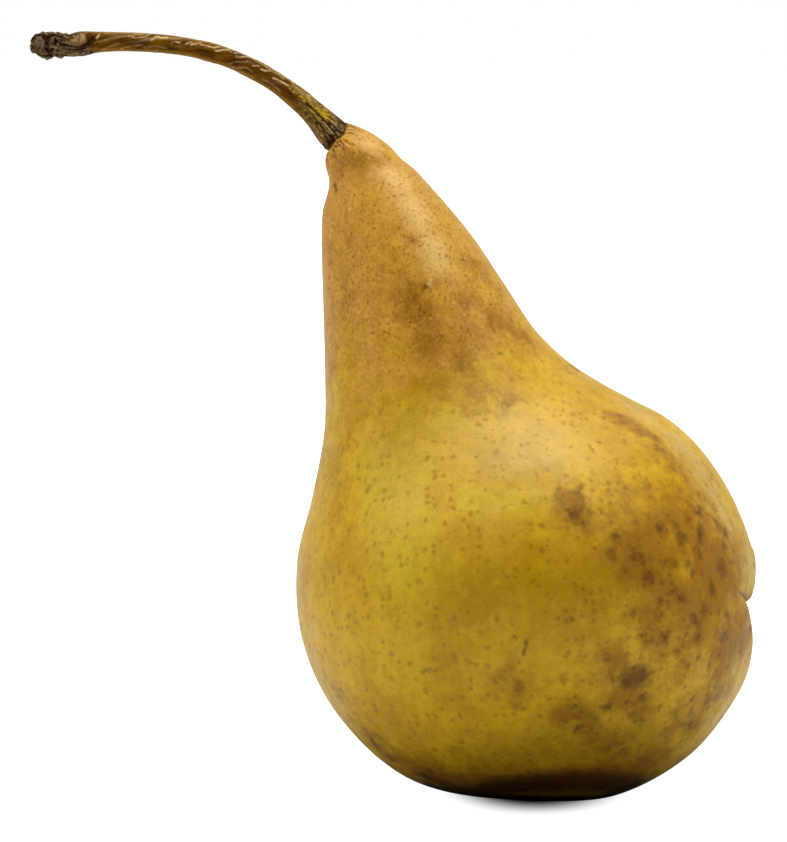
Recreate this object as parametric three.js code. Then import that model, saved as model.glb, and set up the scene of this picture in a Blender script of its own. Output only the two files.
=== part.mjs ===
// A ripe pear: a round belly, a neck that leans and narrows to a long dry curved stem, and the dried
// sepals of the flower (the calyx) in a shallow basin at the blossom end.
// Millimetres, +Z up. The origin is the middle of the small flat spot that the fruit rests on.
// The pear bends in the XZ plane only: the stem points towards -X and the calyx towards +X.
import * as THREE from 'three';
import { LoftGeometry } from 'three/addons/geometries/LoftGeometry.js';

const SIDE = new THREE.Vector3(0, 1, 0); // across the plane in which the pear bends

// ---- The fruit ----

// The skin is a loft of rings. Each ring spans from the under edge to the over edge of the outline,
// and is as thick along Y as roundness times that span.
// [under x, under z, over x, over z, roundness], from the stem end to the blossom end.
const SKIN_RINGS = [
  [-31.3, 96.2, -27.5, 100.1, 1.0], // lip around the stem
  [-31.4, 94.6, -24.0, 98.7, 1.0],
  [-30.8, 91.4, -19.4, 94.9, 0.98], // pinch under the shoulder
  [-31.8, 87.0, -14.7, 89.9, 0.97],
  [-31.9, 80.5, -9.3, 83.4, 0.97],
  [-31.7, 72.5, -4.6, 76.4, 0.97],
  [-31.5, 63.5, 0.3, 69.2, 0.98],
  [-31.6, 54.5, 5.4, 64.4, 1.0],
  [-33.4, 44.5, 10.4, 61.2, 1.0],
  [-35.8, 34.0, 15.2, 58.6, 1.0],
  [-34.8, 22.0, 19.6, 56.3, 1.0],
  [-29.3, 11.0, 23.6, 53.0, 1.0], // widest ring of the belly
  [-19.0, 1.9, 26.9, 49.0, 1.0],
  [-4.5, -1.3, 29.6, 44.6, 1.02],
  [10.8, -1.1, 31.5, 40.4, 1.03],
  [23.0, 5.1, 32.7, 37.0, 1.03],
  [30.5, 14.2, 33.0, 36.4, 1.0],
  [32.2, 18.4, 33.2, 35.6, 1.0],
  [32.3, 20.9, 33.0, 34.9, 1.06], // rim of the basin
  [31.8, 22.8, 32.3, 33.8, 1.1],
  [30.9, 24.3, 31.1, 32.5, 1.12],
  [29.6, 25.8, 29.6, 31.2, 1.12], // edge of the basin floor
];
const ROWS_PER_RING = 3;
const SKIN_SEGMENTS = 72;
const BASIN_FLOOR = [28.9, 28.5]; // x, z of its middle

// The socket that the stem grows out of.
const SOCKET_MOUTH = [-29.4, 98.1]; // x, z
const SOCKET_INWARD = [0.69, -0.72]; // direction in XZ, into the flesh
const SOCKET_DEPTH = 4.5;
const SOCKET_RADIUS = 1.85;
const SOCKET_CHAMFER = 0.8; // how far below the lip the straight wall of the socket starts

// A fold in the skin that runs across the rim of the basin, level on the +Y side and rising a little
// on the other.
const FOLD_DEPTH = 2.2;
const FOLD_WIDTH = 2.0;
const FOLD_REACH = 11.0; // half its length
const FOLD_Z = 28.1;
const FOLD_CURVE = 0.006; // rise on the -Y side, per square millimetre across
const FOLD_NEAREST_X = 28.0; // everything nearer the core than this keeps its shape

// ---- The stem ----

// Middle line [x, z], from the root in the socket to the broken-off tip.
const STEM_LINE = [
  [-26.6, 95.2], [-29.4, 98.1], [-32.1, 100.9], [-34.9, 103.6], [-38.0, 106.0], [-42.6, 108.7],
  [-47.3, 110.6], [-53.2, 111.9], [-59.2, 112.4], [-65.2, 112.4], [-70.0, 111.9], [-75.0, 112.1],
];
// [distance from the root, radius].
const STEM_PROFILE = [
  [0.0, 1.3], [0.4, 1.5], [3.2, 1.5], // peg in the socket
  [4.0, 1.7], [4.4, 2.3], [4.9, 2.42], [6.0, 2.3], [8.0, 1.98], [10.5, 1.74], [13.5, 1.58], // flared foot
  [18.0, 1.47], [23.0, 1.4], [28.0, 1.36], [33.0, 1.36], [38.0, 1.4], [42.5, 1.46],
  [44.8, 1.62], [46.6, 1.82], [48.6, 1.66], [50.2, 1.78], [51.6, 1.96], [52.7, 1.75], // bark knob
  [53.5, 1.35], [54.1, 0.7],
];
const STEM_ROWS_PER_STATION = 3;
const STEM_SEGMENTS = 24;
const STEM_RIDGES = 6;
const STEM_RIDGE_HEIGHT = 0.09;
const STEM_TWIST = 0.15; // radians the ridges turn per millimetre
const PEG_LENGTH = 4.4; // the part of the stem without ridges
const KNOB_START = 44.8;
const KNOB_LUMP_HEIGHT = 0.16;

// ---- The calyx ----

// Five dried sepals that stand round the middle of the basin, as a star-shaped cup open towards +X.
const SEPALS = 5;
const CALYX_FOOT = [29.4, 28.5]; // x, z
// [height above the foot, radius, how strongly the ring follows the star].
const CALYX_RINGS = [
  [0.0, 0.0, 0.0],
  [0.0, 1.7, 0.1],
  [0.8, 2.2, 0.3],
  [1.5, 2.7, 0.7],
  [2.1, 3.1, 1.0],
  [2.3, 2.9, 1.0], // tips of the sepals
  [2.0, 2.3, 0.9],
  [1.4, 1.7, 0.6],
  [0.9, 1.0, 0.3],
  [0.8, 0.0, 0.0],
];
const CALYX_SEGMENTS = 50;
const STAR_REACH = 0.22; // share that the tips lie outside the mean radius
const STAR_RISE = 0.3; // share that the tips stand above the mean height

// ---- Shapes ----

const at = (x, z) => new THREE.Vector3(x, 0, z);

// A curve whose getPoint(i / (n - 1)) passes the points one by one.
const smoothLine = (points) => new THREE.CatmullRomCurve3(points, false, 'centripetal');

const mix = (a, b, share) => a + (b - a) * share;

// Evenly spaced angles around a circle.
const angles = (count) => Array.from({ length: count }, (_, i) => (2 * Math.PI * i) / count);

// An ellipse of points that spans from one edge point to the other.
function ring(under, over, roundness) {
  const centre = under.clone().lerp(over, 0.5);
  const half = over.clone().sub(centre);
  const depth = half.length() * roundness;
  return angles(SKIN_SEGMENTS).map((angle) => centre.clone()
    .addScaledVector(half, Math.cos(angle))
    .addScaledVector(SIDE, -depth * Math.sin(angle)));
}

function socketRing(depth, radius) {
  const inward = at(...SOCKET_INWARD).normalize();
  const across = at(-inward.z, inward.x);
  const middle = at(...SOCKET_MOUTH).addScaledVector(inward, depth);
  const under = middle.clone().addScaledVector(across, -radius);
  const over = middle.clone().addScaledVector(across, radius);
  return ring(under, over, 1);
}

function skinRings() {
  const under = smoothLine(SKIN_RINGS.map(([x, z]) => at(x, z)));
  const over = smoothLine(SKIN_RINGS.map(([, , x, z]) => at(x, z)));
  const rings = [];
  for (let i = 0; i < SKIN_RINGS.length; i += 1) {
    const last = i === SKIN_RINGS.length - 1;
    for (let step = 0; step < (last ? 1 : ROWS_PER_RING); step += 1) {
      const share = step / ROWS_PER_RING;
      const t = (i + share) / (SKIN_RINGS.length - 1);
      const roundness = mix(SKIN_RINGS[i][4], SKIN_RINGS[last ? i : i + 1][4], share);
      rings.push(ring(under.getPoint(t), over.getPoint(t), roundness));
    }
  }
  return rings;
}

// Presses the fold into the rim of the basin and cuts the flat resting spot.
function shapeSkin(point) {
  const foldZ = FOLD_Z + FOLD_CURVE * Math.max(0, -point.y) ** 2;
  const along = Math.exp(-((point.y / FOLD_REACH) ** 4));
  const across = Math.exp(-(((point.z - foldZ) / FOLD_WIDTH) ** 2));
  if (point.x > FOLD_NEAREST_X) {
    point.x = Math.max(FOLD_NEAREST_X, point.x - FOLD_DEPTH * along * across);
  }
  point.z = Math.max(0, point.z);
  return point;
}

function fruitGeometry() {
  const floor = at(...BASIN_FLOOR);
  const skin = [...skinRings(), ring(floor, floor, 1)].map((section) => section.map(shapeSkin));
  return new LoftGeometry([
    socketRing(SOCKET_DEPTH, 0),
    socketRing(SOCKET_DEPTH, SOCKET_RADIUS),
    socketRing(SOCKET_CHAMFER, SOCKET_RADIUS),
    ...skin,
  ]);
}

// Radius of the stem at one point: the profile, shallow twisted ridges, and lumps on the knob.
function stemRadius(distance, radius, angle) {
  if (distance < PEG_LENGTH) return radius;
  if (distance < KNOB_START) {
    return radius + STEM_RIDGE_HEIGHT * Math.cos(STEM_RIDGES * (angle + STEM_TWIST * distance));
  }
  return radius + KNOB_LUMP_HEIGHT * Math.sin(3 * angle + 2 * distance) * Math.cos(2 * angle - distance);
}

function stemGeometry() {
  const line = smoothLine(STEM_LINE.map(([x, z]) => at(x, z)));
  const profile = smoothLine(STEM_PROFILE.map(([distance, radius]) => at(distance, radius)));
  const length = line.getLength();
  const rows = (STEM_PROFILE.length - 1) * STEM_ROWS_PER_STATION;
  const sections = [];
  for (let i = 0; i <= rows; i += 1) {
    const { x: distance, z: radius } = profile.getPoint(i / rows);
    const share = Math.min(1, distance / length);
    const centre = line.getPointAt(share);
    const up = new THREE.Vector3().crossVectors(SIDE, line.getTangentAt(share)).normalize();
    sections.push(angles(STEM_SEGMENTS).map((angle) => {
      const reach = stemRadius(distance, radius, angle);
      return centre.clone()
        .addScaledVector(up, reach * Math.cos(angle))
        .addScaledVector(SIDE, reach * Math.sin(angle));
    }));
  }
  return new LoftGeometry(sections, { capStart: true, capEnd: true });
}

function calyxGeometry() {
  const [footX, footZ] = CALYX_FOOT;
  return new LoftGeometry(CALYX_RINGS.map(([height, radius, starShare]) => (
    angles(CALYX_SEGMENTS).map((angle) => {
      const star = starShare * Math.cos(SEPALS * angle);
      const reach = radius * (1 + STAR_REACH * star);
      return new THREE.Vector3(
        footX + height * (1 + STAR_RISE * star),
        -reach * Math.sin(angle),
        footZ + reach * Math.cos(angle),
      );
    })
  )));
}

function node(name, geometry, color, roughness) {
  const mesh = new THREE.Mesh(geometry, new THREE.MeshStandardMaterial({ color, roughness, metalness: 0 }));
  mesh.name = name;
  return mesh;
}

const pear = new THREE.Group();
pear.add(node('fruit', fruitGeometry(), 0xc49a35, 0.45));
pear.add(node('stem', stemGeometry(), 0x7a5520, 0.6));
pear.add(node('calyx', calyxGeometry(), 0x4a3520, 0.8));

export default pear;
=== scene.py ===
"""Looks of a ripe pear that rests on its belly: speckled and bruised skin, a dry curved stem and its calyx.

Sizes are in millimetres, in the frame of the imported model: +Z up, the stem towards -X and the calyx
towards +X. The origin is the middle of the flat spot under the belly.
"""

import bpy
import numpy as np
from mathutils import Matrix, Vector, noise


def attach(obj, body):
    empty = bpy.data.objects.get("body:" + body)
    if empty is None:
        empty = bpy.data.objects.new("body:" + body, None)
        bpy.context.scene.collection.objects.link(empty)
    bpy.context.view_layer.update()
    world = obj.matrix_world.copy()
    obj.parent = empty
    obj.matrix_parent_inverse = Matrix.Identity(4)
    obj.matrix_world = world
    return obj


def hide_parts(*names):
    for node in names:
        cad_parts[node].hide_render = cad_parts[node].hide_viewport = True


MM = 0.001
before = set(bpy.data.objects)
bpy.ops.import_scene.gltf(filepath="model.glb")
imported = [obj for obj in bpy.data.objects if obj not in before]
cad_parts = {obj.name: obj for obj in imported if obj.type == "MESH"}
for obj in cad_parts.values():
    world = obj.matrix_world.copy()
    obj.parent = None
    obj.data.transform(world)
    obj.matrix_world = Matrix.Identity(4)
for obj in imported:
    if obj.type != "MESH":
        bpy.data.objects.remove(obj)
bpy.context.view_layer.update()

# ---- Camera ----

IMAGE_WIDTH_PX = 787
IMAGE_HEIGHT_PX = 842
PIXEL_MM = 0.15  # size of a pixel at the middle of the pear
CAMERA_ELEVATION = np.radians(7.0)
CAMERA_DISTANCE = 600.0
CAMERA_AIM = np.array([-21.2, 0.0, 55.8])  # seen in the middle of the picture
TOWARDS_CAMERA = np.array([0.0, -np.cos(CAMERA_ELEVATION), np.sin(CAMERA_ELEVATION)])
SENSOR_MM = 36.0

# ---- Outline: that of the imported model, with a lip that rises up the stem ----

# [under x, under z, over x, over z, roundness], from the lip around the stem to the floor of the basin.
SKIN_RINGS = [
    [-31.1, 96.3, -28.2, 100.75, 1.0],
    [-31.4, 94.6, -24.0, 98.7, 1.0],
    [-30.8, 91.4, -19.4, 94.9, 0.98],
    [-31.8, 87.0, -14.7, 89.9, 0.97],
    [-31.9, 80.5, -9.3, 83.4, 0.97],
    [-31.7, 72.5, -4.6, 76.4, 0.97],
    [-31.5, 63.5, 0.3, 69.2, 0.98],
    [-31.6, 54.5, 5.4, 64.4, 1.0],
    [-33.4, 44.5, 10.4, 61.2, 1.0],
    [-35.8, 34.0, 15.2, 58.6, 1.0],
    [-34.8, 22.0, 19.6, 56.3, 1.0],
    [-29.3, 11.0, 23.6, 53.0, 1.0],
    [-19.0, 1.9, 26.9, 49.0, 1.0],
    [-4.5, -1.3, 29.6, 44.6, 1.02],
    [10.8, -1.1, 31.5, 40.4, 1.03],
    [23.0, 5.1, 32.7, 37.0, 1.03],
    [30.5, 14.2, 33.0, 36.4, 1.0],
    [32.2, 18.4, 33.2, 35.6, 1.0],
    [32.3, 20.9, 33.0, 34.9, 1.06],
    [31.8, 22.8, 32.3, 33.8, 1.1],
    [30.9, 24.3, 31.1, 32.5, 1.12],
    [29.6, 25.8, 29.6, 31.2, 1.12],
]
SOCKET_INWARD = np.array([0.69, 0.0, -0.72])
SOCKET_MOUTH = np.array([-29.4, 0.0, 98.1])
SOCKET_RINGS = [[4.5, 1.85], [0.8, 1.85]]  # [depth, radius]
BASIN_FLOOR = np.array([28.9, 0.0, 28.5])

# The fold across the rim of the basin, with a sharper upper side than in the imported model.
FOLD_DEPTH = 1.8
FOLD_WIDTH_ABOVE = 2.0
FOLD_WIDTH_BELOW = 3.6
FOLD_REACH = 11.0  # half its length
FOLD_Z = 28.1
FOLD_CURVE = 0.019  # rise on the -Y side, per square millimetre across
FOLD_NEAREST_X = 28.0  # everything nearer the core than this keeps its shape
FOLD_LINE_WIDTH = 0.55  # of the line of painted shade at the bottom of the fold
FOLD_LINE_REACH = 16.5

STEM_LINE = [
    [-26.6, 95.2], [-29.4, 98.1], [-32.1, 100.9], [-34.9, 103.6], [-38.0, 106.0], [-42.6, 108.7],
    [-47.3, 110.6], [-53.2, 111.9], [-59.2, 112.4], [-65.2, 112.4], [-70.0, 111.9], [-75.0, 112.1],
]
# [distance from the root, radius]; the foot starts below the lip, so no gap shows there.
STEM_PROFILE = [
    [0.0, 1.3], [0.4, 1.5], [3.0, 1.5],
    [3.5, 2.1], [4.2, 2.5], [4.9, 2.42], [6.0, 2.3], [8.0, 1.98], [10.5, 1.74], [13.5, 1.58],
    [18.0, 1.47], [23.0, 1.4], [28.0, 1.36], [33.0, 1.36], [38.0, 1.4], [42.5, 1.46],
    [44.8, 1.62], [46.6, 1.82], [48.6, 1.66], [50.2, 1.78], [51.6, 1.96], [52.7, 1.75],
    [53.5, 1.35], [54.1, 0.7],
]
PEG_LENGTH = 4.2  # the part of the stem without ridges
KNOB_START = 44.8
STEM_TWIST = 0.15  # radians the ridges turn per millimetre
STEM_RIDGES = 6
STEM_RIDGE_HEIGHT = 0.09
CRACK_DEPTH = 0.06  # on the shaft; three times that on the foot
GLINT_HEIGHT = 0.07
GROOVE_DEPTH = 0.22
SCAR_HEIGHT = 0.22
KNOB_ROUGHNESS = 0.08
TIP_ROUGHNESS = 0.34  # more, at the broken end of the knob

# Distances from the root between which one region of the stem turns into the next.
JOINT_END = (6.0, 4.4)
FOOT_END = (6.5, 12.0)
TIP_START = (47.6, 49.4)

LIP_DIP = 0.6  # how far the lip is lower than its ring where it faces the camera
LIP_DIP_ANGLE = 1.15  # radians from its upper edge, towards -Y
LIP_DIP_WIDTH = 0.5  # radians
LIP_DIP_LENGTH = 1.2
LIP_LAP = 1.1  # how far dark tissue of the stem laps onto the upper side of the lip
LIP_WRINKLES = 15
LIP_SEED = 11

CALYX_FOOT = np.array([28.1, 0.0, 28.5])
SEPALS = 5
STAMENS = 9
CALYX_CRUMPLE = 0.07
CALYX_SEED = 3

# ---- Fineness of the meshes ----

SKIN_ROWS = 290
SKIN_SEGMENTS = 300
STEM_ROWS = 640
STEM_SEGMENTS = 128

# ---- Marks on the skin ----

# Each mark is [radius in millimetres, strength, (x, y), ...]: a soft spot, or a soft stroke through several
# places. The places are pixels of the picture, and each mark lies on the skin that shows there.
RUSSET_AND_SHADE = [
    [3.6, 0.72, (414, 290), (420, 318), (430, 345)],  # smudge on the neck, in lobes
    [2.4, 0.85, (430, 342), (434, 350)],
    [3.0, 0.5, (404, 286), (398, 304)],
    [5.0, 0.5, (440, 330), (470, 345), (440, 372)],
    [2.4, 0.42, (463, 298), (492, 316)],  # band from the smudge to the right
    [2.6, 0.65, (492, 316), (512, 327), (527, 338)],
    [2.2, 0.45, (470, 262), (484, 274), (496, 288)],
    [4.5, 0.4, (480, 385), (500, 400)],
    [1.3, 0.6, (412, 240)],
    [1.2, 1.0, (575, 368)],  # fleck on the outline
    [1.8, 0.85, (612, 415), (640, 430), (656, 440)],  # streak on the shoulder
    [3.0, 0.6, (664, 456), (680, 474), (702, 500)],
    [9.0, 0.85, (650, 548), (690, 530), (722, 570), (705, 615)],  # mottled region
    [4.5, 1.0, (636, 560), (672, 591), (690, 612)],
    [5.5, 1.0, (696, 540), (718, 560), (712, 600)],
    [5.5, 1.0, (726, 585), (728, 645)],
    [3.5, 0.7, (716, 520), (732, 560)],
    [5.0, 0.75, (655, 612), (662, 636)],
    [5.0, 0.7, (722, 640), (718, 690), (690, 715)],
    [3.2, 0.95, (573, 509)],  # bruise, with rays
    [1.2, 0.6, (580, 490), (576, 508)],
    [1.4, 0.8, (574, 512), (590, 527)],
    [3.4, 0.7, (612, 665), (634, 676), (643, 711)],
    [2.6, 0.75, (612, 699), (624, 702)],
    [2.6, 0.8, (562, 716), (580, 710), (590, 728)],
    [4.0, 0.6, (600, 735), (622, 742)],
    [2.4, 0.45, (505, 676), (519, 680), (517, 696)],
    [3.6, 0.7, (372, 735), (390, 755), (411, 764), (441, 770)],
    [3.5, 0.4, (340, 690), (352, 715)],
    # darker towards the bottom: browning and painted shade
    [6.5, 0.9, (430, 778), (500, 784), (600, 778), (640, 765)],
    [3.0, 0.45, (345, 160), (360, 166), (374, 172)],  # shade under the lip
    # painted shade along the left edge of the neck
    [2.2, 0.3, (330, 250), (334, 330), (330, 420)],
    [2.6, 0.3, (346, 250), (347, 310)],
]
SPOTS = [
    [0.3, 1.0, (421, 289), (425, 286), (428, 286)],
    [0.45, 0.7, (463, 259)],
    [0.5, 0.8, (441, 337)],
    [0.5, 0.7, (412, 240)],
    [0.5, 0.6, (500, 353)],
    [0.6, 1.0, (576, 368)],
    [0.45, 1.0, (335, 185), (337, 191)],  # slit in the pinch
    [1.1, 0.8, (572, 514), (576, 512)],
    [0.5, 0.5, (566, 503)],
    [0.5, 0.5, (586, 525), (580, 519)],
    [0.2, 0.6, (578, 490), (576, 506)],
    [0.2, 0.5, (590, 498), (581, 508)],
    [0.6, 0.6, (560, 527)],
    [0.7, 0.5, (602, 510)],
    [1.2, 0.7, (618, 534)],
    [2.0, 0.75, (637, 559)],
    [1.2, 0.7, (674, 521)],
    [1.3, 0.75, (702, 538)],
    [1.2, 0.65, (675, 562)],
    [1.0, 0.65, (697, 515)],
    [1.2, 0.6, (693, 571)],
    [1.6, 0.8, (722, 568)],
    [2.2, 0.65, (724, 600)],
    [1.5, 0.5, (700, 620)],
    [1.3, 0.6, (705, 607)],
    [1.2, 0.6, (672, 591)],
    [1.3, 0.7, (696, 623)],
    [1.5, 0.6, (725, 635)],
    [1.0, 0.75, (637, 612)],
    [0.9, 0.9, (642, 635)],
    [1.0, 0.6, (609, 657)],
    [0.8, 0.6, (643, 659)],
    [1.9, 1.0, (631, 677), (638, 675)],
    [1.0, 0.7, (690, 668)],
    [0.9, 0.6, (698, 659)],
    [0.8, 0.6, (683, 647)],
    [0.9, 0.95, (607, 707)],
    [0.9, 0.95, (577, 730)],
    [1.0, 0.5, (579, 711)],
    [0.6, 0.8, (573, 617)],
    [0.6, 0.75, (515, 639)],
    [0.5, 0.8, (527, 643), (525, 652)],
    [0.5, 0.6, (517, 663)],
    [0.5, 0.6, (424, 673), (438, 670)],
    [0.35, 0.5, (438, 670), (464, 660)],
    [0.8, 0.5, (505, 676)],
    [0.8, 0.5, (519, 680)],
    [0.8, 0.6, (564, 678)],
    [0.5, 0.6, (573, 424)],
    [0.5, 0.6, (592, 450)],
    [0.5, 0.5, (611, 450)],
    [0.8, 0.7, (369, 738), (374, 743)],
    [2.2, 0.8, (425, 776), (445, 784), (462, 790)],
]
SHADE = [  # painted shade and browning of the underside
    [4.2, 1.0, (470, 794), (500, 789), (540, 784), (575, 781), (595, 782), (615, 784), (640, 788)],
]
CRUSTS = [
    [0.4, 1.0, (431, 281), (428, 284)],
    [0.3, 1.0, (465, 260)],
    [0.3, 0.7, (591, 530)],
]
OLIVE_AND_SHADE = [
    [7.0, 1.0, (480, 592), (540, 580), (620, 585)],  # painted shade: a dark band across the middle of the belly
    [5.0, 0.6, (384, 330), (410, 372), (440, 372)],
    [3.0, 0.5, (395, 445), (410, 425), (430, 400)],
    [3.2, 0.6, (490, 462), (550, 464)],
    # darker towards the bottom: browning and painted shade
    [5.0, 0.9, (480, 765), (540, 748), (620, 745)],
    [5.0, 1.0, (470, 785), (540, 775), (620, 770)],
]
FRESH = [
    [8.0, 1.0, (400, 480), (410, 560)],  # greener skin on the left of the belly
    [4.0, 0.9, (475, 505), (540, 508)],
    [4.0, 0.7, (414, 416), (450, 420)],
    [4.0, 0.6, (384, 235), (444, 240)],
]
REFLECTION_STRIPS = [
    [2.6, 1.0, (674, 438), (694, 462), (710, 486), (722, 512), (730, 530)],  # painted reflection: a greyish strip by the ridge
    [2.0, 0.7, (634, 408), (655, 424)],
    [2.4, 0.6, (740, 560), (744, 580)],
]
RIDGE = [2.2, 1.0, (590, 388), (634, 424), (658, 448), (682, 482), (696, 520)]
HOLLOW = [3.2, 1.0, (668, 432), (694, 464), (714, 500)]  # between the ridge and the outline
LUMPS_WITH_HIGHLIGHTS = [
    [1.6, 0.95, (372, 149)],  # raised lumps on the neck, with painted highlights on them
    [2.2, 0.85, (396, 178), (402, 186)],
    [2.4, 1.0, (411, 207), (420, 222)],
    [2.6, 1.0, (430, 248), (437, 258)],
]
SHEEN = [
    [8.0, 0.5, (468, 446), (550, 438)],  # painted highlight on the shoulder
    # painted highlight on the upper belly
    [7.0, 0.25, (415, 495), (480, 502)],
]
COLLAR = [1.5, 1.0, (340, 164), (362, 168), (386, 166), (402, 156)]  # shallow groove below the lip
CREVICES = [
    [0.2, 0.5, (340, 140), (343, 145), (344, 152)],  # folds next to the stem, darkened with painted shade
    [0.16, 0.45, (342, 139), (347, 142), (350, 145)],
    [0.16, 0.3, (336, 145), (333, 150), (333, 156)],
    [0.2, 0.6, (346, 124), (352, 126), (360, 129)],
]

# ---- Marks on the stem, in the same form ----

SCAR = [[0.7, 1.0, (75, 43), (82, 39), (90, 35)]]  # smooth place where a bud sat
GROOVES = [
    [0.2, 1.0, (55, 40), (62, 44), (70, 46), (80, 47), (87, 44), (93, 38)],  # crescents below the scar
    [0.13, 0.9, (66, 49), (76, 50), (85, 48), (91, 44), (95, 40)],
    [0.15, 0.6, (62, 37), (68, 40), (72, 38)],
    [0.16, 1.0, (340, 140), (334, 132), (327, 124), (322, 118), (315, 111), (306, 103)],  # foot cracks
    [0.14, 0.9, (335, 141), (331, 137), (325, 132), (320, 124), (313, 116)],
    [0.14, 0.9, (345, 135), (340, 132), (335, 127), (327, 120)],
    [0.12, 0.7, (341, 129), (334, 121), (329, 117)],
    [0.3, 0.9, (328, 147), (331, 142), (337, 141)],
    [0.3, 0.8, (344, 124), (339, 120)],
]
GLINTS = [
    [0.15, 0.9, (97, 38), (99, 35)],
    [0.14, 0.6, (129, 36), (136, 38), (145, 37), (151, 34)],
    [0.17, 1.0, (152, 40), (156, 37)],
    [0.2, 1.0, (157, 37), (161, 38), (167, 38)],
    [0.13, 1.0, (172, 43), (176, 42), (181, 43)],
    [0.11, 0.9, (186, 44), (192, 42)],
    [0.13, 1.0, (191, 45), (196, 43), (201, 43)],
    [0.14, 0.9, (201, 45), (207, 46), (214, 48), (219, 47)],
    [0.12, 1.0, (216, 51), (219, 51), (222, 50), (229, 50)],
    [0.12, 0.9, (231, 52), (235, 53), (240, 53)],
    [0.13, 1.0, (236, 56), (241, 57), (248, 57)],
    [0.1, 0.8, (253, 66), (259, 66)],
    [0.12, 1.0, (261, 69), (265, 71), (270, 71)],
    [0.11, 1.0, (273, 78), (278, 80), (284, 83)],
    [0.1, 0.9, (285, 84), (289, 87), (291, 90), (294, 93)],
    [0.12, 0.7, (290, 80), (293, 84), (298, 89), (303, 95)],
    [0.13, 0.5, (249, 57), (255, 60), (262, 64)],  # duller strips, above
    [0.13, 0.5, (264, 65), (269, 69), (276, 73), (284, 79)],
    [0.14, 0.4, (104, 33), (116, 33), (128, 33), (142, 35)],
    [0.12, 0.3, (101, 49), (109, 47), (119, 43)],  # and below
    [0.12, 0.3, (121, 49), (130, 46), (142, 45)],
    [0.11, 0.25, (144, 47), (156, 46), (166, 48)],
    [0.11, 0.35, (228, 64), (235, 62), (248, 62)],
    [0.18, 0.3, (233, 67), (247, 68), (252, 71)],
    [0.14, 0.3, (262, 79), (272, 84), (280, 91)],
    [0.11, 0.7, (331, 127), (338, 135)],  # on the foot
    [0.11, 0.6, (324, 122), (333, 133)],
    [0.11, 0.5, (336, 124), (342, 130)],
]
FLAKES = [
    [0.45, 1.0, (315, 108), (321, 113), (328, 118)],  # yellow bark on the upper side of the foot
    [0.22, 0.9, (300, 96), (304, 98), (305, 101)],
    [0.2, 0.8, (308, 96), (311, 104)],
    [0.2, 0.6, (295, 90), (298, 93)],
]

# ---- Regions and relief of the skin ----

# Heights between which one kind of skin turns into another.
NECK_SKIN = (52.0, 84.0)
# below these heights the underside darkens: browning with painted shade
UNDERSIDE_BROWNING_AND_SHADE_HEIGHTS = (3.6, 0.6)

# How far each kind of mark is raised; less than 0 is pressed in.
RELIEF = {
    "wrinkles": -0.24, "fold_line": -0.4, "crevices": -0.5, "furrows": -0.8, "ridge": 0.3, "hollow": -0.3,
    "lumps": 0.2, "collar": -0.25, "crusts": 0.25, "spots": -0.12, "back_spots": -0.15,
}

# ---- The far side and the basin ----

# [angle round the basin, half width, depth]: radians from +Y, radians, and a share.
BASIN_FURROWS = [
    [0.4, 0.14, 0.4], [0.95, 0.15, 0.15], [-0.45, 0.14, 0.4], [-1.0, 0.16, 0.15],
]
# Distances from the middle of the basin.
BASIN_RIM = 7.5
BASIN_RUSSET = 9.0
BASIN_CRUMPLED = 5.0
# reach of the painted shade in the middle of the basin
BASIN_SHADE = 3.2

BACK_SEED = 5
BACK_SPOTS = 46
BACK_SPOT_RADII = (0.5, 1.5)  # smallest and largest
BACK_STAINS = 18
BACK_STAIN_RADII = (2.5, 6.5)

# ---- Stage ----

WHITE = (1.0, 1.0, 1.0, 1.0)
# painted shadow under the pear
FLOOR_PAINTED_SHADOW = (0.25, 0.25, 0.25, 1.0)
FLOOR_AROUND = (0.85, 0.85, 0.85, 1.0)
FLOOR_REACH = 3.0  # metres, half the width of the floor
LIGHTS_AIM = (0.0, 0.0, 0.05)
# [name, place in metres, width in metres, watts]
SOFTBOXES = [
    ["ceiling", (0.0, 0.3, 1.6), 2.4, 14.5],
    ["top", (0.1, -0.1, 1.4), 0.9, 13.8],
    ["left", (-1.1, -0.2, 0.6), 0.8, 3.3],
    ["right", (0.9, -0.5, 1.1), 0.6, 4.2],
]


# ---- Small tools ----

def rgb(red, green, blue):
    """Linear colour of an ordinary 0 to 255 screen colour."""
    return tuple(float((channel / 255) ** 2.2) for channel in (red, green, blue)) + (1.0,)


def smooth_step(low, high, value):
    share = np.clip((value - low) / (high - low), 0, 1)
    return share * share * (3 - 2 * share)


def smooth_line(points, places):
    """Centripetal Catmull-Rom curve: place 0 is the first point, 1 the second, and so on."""
    points = np.asarray(points, float)
    ends = np.vstack([2 * points[0] - points[1], points, 2 * points[-1] - points[-2]])
    first = np.clip(np.asarray(places).astype(int), 0, len(points) - 2)
    share = (places - first)[:, None]
    a, b, c, d = (ends[first + step] for step in range(4))
    ab, bc, cd = (np.sqrt(np.linalg.norm(q - p, axis=1, keepdims=True)) for p, q in ((a, b), (b, c), (c, d)))
    start = ((b - a) / ab - (c - a) / (ab + bc) + (c - b) / bc) * bc
    end = ((c - b) / bc - (d - b) / (bc + cd) + (d - c) / cd) * bc
    s2, s3 = share ** 2, share ** 3
    bend = (s3 - 2 * s2 + share) * start + (s3 - s2) * end
    return (2 * s3 - 3 * s2 + 1) * b + (3 * s2 - 2 * s3) * c + bend


def in_plane(pairs):
    """Points [x, z] of the plane in which the pear bends, as points in space."""
    pairs = np.asarray(pairs, float)
    return np.column_stack([pairs[:, 0], np.zeros(len(pairs)), pairs[:, 1]])


def fractal(points, size, octaves=3, seed=0.0):
    """Smooth noise of about -1 to 1, with features about size millimetres wide."""
    flat = points.reshape(-1, 3) / size + seed
    values = [noise.fractal(Vector(p), 0.9, 2.0, octaves) for p in flat]
    return np.array(values).reshape(points.shape[:-1])


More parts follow.
